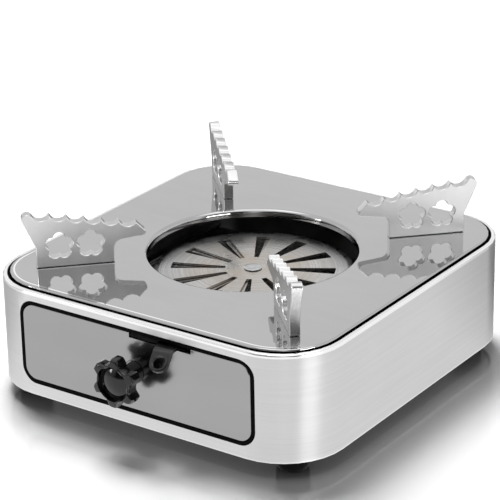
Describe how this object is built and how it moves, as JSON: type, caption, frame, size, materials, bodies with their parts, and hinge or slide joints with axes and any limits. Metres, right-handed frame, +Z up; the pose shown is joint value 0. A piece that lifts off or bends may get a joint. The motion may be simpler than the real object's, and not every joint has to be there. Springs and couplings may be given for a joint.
{
  "type": "solid fuel camping stove",
  "caption": "Square stainless camping stove for solid fuel, with a fuel drawer, a lever-worked damper and scalloped pot supports.",
  "frame": {"origin": "on the floor under the feet, at the centre of the whole outline seen from above, knob included", "axes": "+Z up; the drawer front faces -Y, so +Y runs to the back; +X to the right as seen from the front"},
  "size_m": [0.19, 0.2136, 0.0919],
  "materials": {
    "body_shell": "horizontally brushed stainless sheet, polished hem",
    "top_plate": "mirror-polished stainless sheet",
    "top_seal": "black silicone sheet",
    "base_pan": "plain mill-finish stainless sheet",
    "drawer_seal": "black silicone edging",
    "drawer_runner_left": "plain stainless sheet",
    "drawer_runner_right": "plain stainless sheet",
    "drawer_front": "mirror-polished stainless sheet",
    "drawer_tray": "plain stainless sheet",
    "fuel_cup": "drawn stainless, plain",
    "cup_lid": "pressed stainless, plain",
    "damper_plate": "stainless sheet, plain",
    "damper_pivot": "steel rivet, zinc plated",
    "damper_lever": "glossy black enamel",
    "lever_rivet_1": "steel rivet, zinc plated",
    "lever_rivet_2": "steel rivet, zinc plated",
    "star_knob": "glossy black moulded plastic",
    "knob_bolt": "hexagon bolt, zinc plated",
    "knob_washer": "plain washer, zinc plated",
    "foot_1": "black rubber",
    "foot_screw_1": "pan-head screw, zinc plated",
    "foot_nut_1": "hexagon nut, zinc plated",
    "pot_support_1": "satin-polished stainless plate",
    "foot_2": "black rubber",
    "foot_screw_2": "pan-head screw, zinc plated",
    "foot_nut_2": "hexagon nut, zinc plated",
    "pot_support_2": "satin-polished stainless plate",
    "foot_3": "black rubber",
    "foot_screw_3": "pan-head screw, zinc plated",
    "foot_nut_3": "hexagon nut, zinc plated",
    "pot_support_3": "satin-polished stainless plate",
    "foot_4": "black rubber",
    "foot_screw_4": "pan-head screw, zinc plated",
    "foot_nut_4": "hexagon nut, zinc plated",
    "pot_support_4": "satin-polished stainless plate",
    "support_screw_1": "pan-head screw, zinc plated",
    "support_screw_2": "pan-head screw, zinc plated",
    "support_screw_3": "pan-head screw, zinc plated",
    "support_screw_4": "pan-head screw, zinc plated",
    "support_screw_5": "pan-head screw, zinc plated",
    "support_screw_6": "pan-head screw, zinc plated",
    "support_screw_7": "pan-head screw, zinc plated",
    "support_screw_8": "pan-head screw, zinc plated"
  },
  "bodies": {
    "body": {"body_shell": "body_shell", "top_plate": "top_plate", "top_seal": "top_seal", "base_pan": "base_pan", "drawer_seal": "drawer_seal", "drawer_runner_left": "drawer_runner_left", "drawer_runner_right": "drawer_runner_right", "foot_1": "foot_1", "foot_screw_1": "foot_screw_1", "foot_nut_1": "foot_nut_1", "pot_support_1": "pot_support_1", "foot_2": "foot_2", "foot_screw_2": "foot_screw_2", "foot_nut_2": "foot_nut_2", "pot_support_2": "pot_support_2", "foot_3": "foot_3", "foot_screw_3": "foot_screw_3", "foot_nut_3": "foot_nut_3", "pot_support_3": "pot_support_3", "foot_4": "foot_4", "foot_screw_4": "foot_screw_4", "foot_nut_4": "foot_nut_4", "pot_support_4": "pot_support_4", "support_screw_1": "support_screw_1", "support_screw_2": "support_screw_2", "support_screw_3": "support_screw_3", "support_screw_4": "support_screw_4", "support_screw_5": "support_screw_5", "support_screw_6": "support_screw_6", "support_screw_7": "support_screw_7", "support_screw_8": "support_screw_8"},
    "drawer": {"drawer_front": "drawer_front", "drawer_tray": "drawer_tray", "fuel_cup": "fuel_cup", "cup_lid": "cup_lid", "damper_pivot": "damper_pivot", "knob_bolt": "knob_bolt", "knob_washer": "knob_washer"},
    "damper": {"damper_plate": "damper_plate", "damper_lever": "damper_lever", "lever_rivet_1": "lever_rivet_1", "lever_rivet_2": "lever_rivet_2"},
    "knob": {"star_knob": "star_knob"}
  },
  "joints": [
    {"name": "drawer_slide", "type": "slide", "parent": "body", "child": "drawer", "axis": [0, -1, 0], "range_m": [0, 0.135]},
    {"name": "damper_hinge", "type": "hinge", "parent": "drawer", "child": "damper", "pos_m": [0, 0.00833, 0.0525], "axis": [0, 0, 1], "range_deg": [-6.4, 3.2]},
    {"name": "knob_hinge", "type": "hinge", "parent": "drawer", "child": "knob", "pos_m": [0, -0.09017, 0.0358], "axis": [0, -1, 0], "range_deg": [0, 360]}
  ]
}
